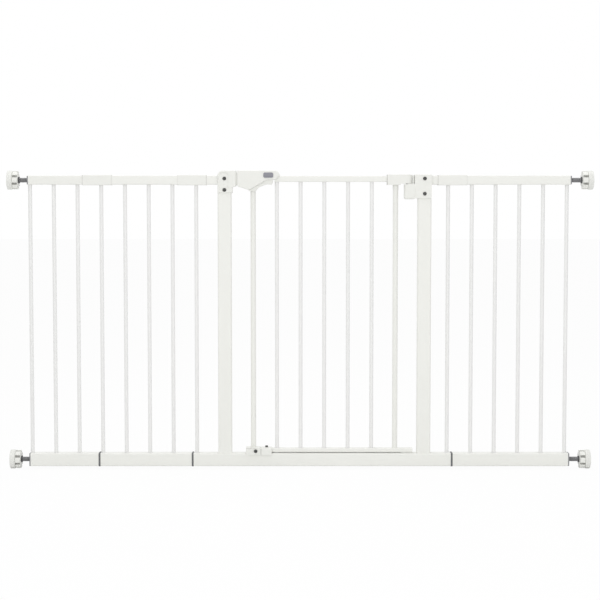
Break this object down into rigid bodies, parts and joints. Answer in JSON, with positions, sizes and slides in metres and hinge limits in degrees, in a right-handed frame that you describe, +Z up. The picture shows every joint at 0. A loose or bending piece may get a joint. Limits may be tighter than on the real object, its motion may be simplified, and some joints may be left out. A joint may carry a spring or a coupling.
{
  "type": "safety gate",
  "caption": "White pressure-mounted baby gate: tubular frame with extension panels, a swinging barred leaf, a squeeze-and-slide latch handle, and wall pads screwed out by hand wheels.",
  "frame": {"origin": "under the middle of the whole gate, level with the lowest point of the wall pads", "axes": "+X along the gate to the viewer's right, from latch to hinge; +Y away from the viewer; +Z up"},
  "size_m": [1.478, 0.048, 0.7582],
  "materials": {
    "white_enamel": "smooth white powder coat",
    "white_moulding": "satin white moulding",
    "grey_moulding": "matt grey moulding",
    "button_grey": "satin grey moulding",
    "dark_screw": "blackened steel",
    "pin_steel": "drawn steel",
    "latch_nylon": "unpolished nylon",
    "spindle_steel": "zinc-plated thread",
    "nut_dark": "dark moulding",
    "wheel_white": "satin white moulding",
    "pad_white": "soft white pad"
  },
  "bodies": {
    "frame": {"gate_unit_rail": "white_enamel", "left_post": "white_enamel", "right_post": "white_enamel", "left_top_stub": "white_enamel", "right_top_stub": "white_enamel", "side_bars": "white_enamel", "outer_left_top_rail": "white_enamel", "outer_left_base_rail": "white_enamel", "outer_left_bars": "white_enamel", "inner_left_top_rail": "white_enamel", "inner_left_base_rail": "white_enamel", "inner_left_bars": "white_enamel", "right_top_rail": "white_enamel", "right_base_rail": "white_enamel", "right_bars": "white_enamel", "top_sleeves": "white_moulding", "base_couplers": "grey_moulding", "upper_end_caps": "grey_moulding", "lower_end_caps": "grey_moulding", "latch_bracket": "white_moulding", "hinge_bracket": "white_moulding", "bracket_screws": "dark_screw", "upper_hinge_pin": "pin_steel", "lower_hinge_pin": "pin_steel"},
    "gate": {"gate_top_rail": "white_enamel", "gate_bottom_rail": "white_enamel", "latch_stile": "white_enamel", "hinge_stile": "white_enamel", "gate_bars": "white_enamel", "hinge_cap": "white_moulding", "lower_hinge_bush": "white_moulding", "handle_front": "white_moulding", "handle_rear": "white_moulding", "handle_screws": "dark_screw", "lever_pin": "pin_steel", "lever_spring": "pin_steel", "bottom_shoe": "white_moulding", "stop_block": "white_moulding", "foot_screws": "dark_screw"},
    "lever": {"squeeze_lever": "white_moulding"},
    "latch": {"latch_bolt": "latch_nylon", "bolt_pin": "pin_steel", "slide_plate": "latch_nylon", "thumb_button": "button_grey"},
    "pad_upper_left": {"wall_pad_upper_left": "pad_white"},
    "wheel_upper_left": {"spindle_upper_left": "spindle_steel", "lock_nut_upper_left": "nut_dark", "hand_wheel_upper_left": "wheel_white"},
    "pad_lower_left": {"wall_pad_lower_left": "pad_white"},
    "wheel_lower_left": {"spindle_lower_left": "spindle_steel", "lock_nut_lower_left": "nut_dark", "hand_wheel_lower_left": "wheel_white"},
    "pad_upper_right": {"wall_pad_upper_right": "pad_white"},
    "wheel_upper_right": {"spindle_upper_right": "spindle_steel", "lock_nut_upper_right": "nut_dark", "hand_wheel_upper_right": "wheel_white"},
    "pad_lower_right": {"wall_pad_lower_right": "pad_white"},
    "wheel_lower_right": {"spindle_lower_right": "spindle_steel", "lock_nut_lower_right": "nut_dark", "hand_wheel_lower_right": "wheel_white"}
  },
  "joints": [
    {"name": "gate_swing", "type": "hinge", "parent": "frame", "child": "gate", "pos_m": [0.271, 0, 0], "axis": [0, 0, 1], "range_deg": [0, 95]},
    {"name": "lever_squeeze", "type": "hinge", "parent": "gate", "child": "lever", "pos_m": [-0.143, 0, 0.75], "axis": [0, 1, 0], "range_deg": [-13, 0], "stiffness_Nm_per_rad": 0.15, "springref_deg": 11.46},
    {"name": "bolt_slide", "type": "slide", "parent": "gate", "child": "latch", "axis": [-1, 0, 0], "range_m": [0, 0.008]},
    {"name": "pad_slide_upper_left", "type": "slide", "parent": "frame", "child": "pad_upper_left", "axis": [-1, 0, 0], "range_m": [-0.012, 0.024]},
    {"name": "wheel_turn_upper_left", "type": "hinge", "parent": "pad_upper_left", "child": "wheel_upper_left", "pos_m": [-0.71, 0, 0.7342], "axis": [-1, 0, 0], "range_deg": [-2166, 4326]},
    {"name": "pad_slide_lower_left", "type": "slide", "parent": "frame", "child": "pad_lower_left", "axis": [-1, 0, 0], "range_m": [-0.012, 0.024]},
    {"name": "wheel_turn_lower_left", "type": "hinge", "parent": "pad_lower_left", "child": "wheel_lower_left", "pos_m": [-0.71, 0, 0.024], "axis": [-1, 0, 0], "range_deg": [-2166, 4326]},
    {"name": "pad_slide_upper_right", "type": "slide", "parent": "frame", "child": "pad_upper_right", "axis": [1, 0, 0], "range_m": [-0.012, 0.024]},
    {"name": "wheel_turn_upper_right", "type": "hinge", "parent": "pad_upper_right", "child": "wheel_upper_right", "pos_m": [0.71, 0, 0.7342], "axis": [1, 0, 0], "range_deg": [-2166, 4326]},
    {"name": "pad_slide_lower_right", "type": "slide", "parent": "frame", "child": "pad_lower_right", "axis": [1, 0, 0], "range_m": [-0.012, 0.024]},
    {"name": "wheel_turn_lower_right", "type": "hinge", "parent": "pad_lower_right", "child": "wheel_lower_right", "pos_m": [0.71, 0, 0.024], "axis": [1, 0, 0], "range_deg": [-2166, 4326]}
  ],
  "couplings": [
    {"joint": "wheel_turn_upper_left", "follows": "pad_slide_upper_left", "rad_per_m": 3141.6},
    {"joint": "wheel_turn_lower_left", "follows": "pad_slide_lower_left", "rad_per_m": 3141.6},
    {"joint": "wheel_turn_upper_right", "follows": "pad_slide_upper_right", "rad_per_m": 3141.6},
    {"joint": "wheel_turn_lower_right", "follows": "pad_slide_lower_right", "rad_per_m": 3141.6}
  ]
}
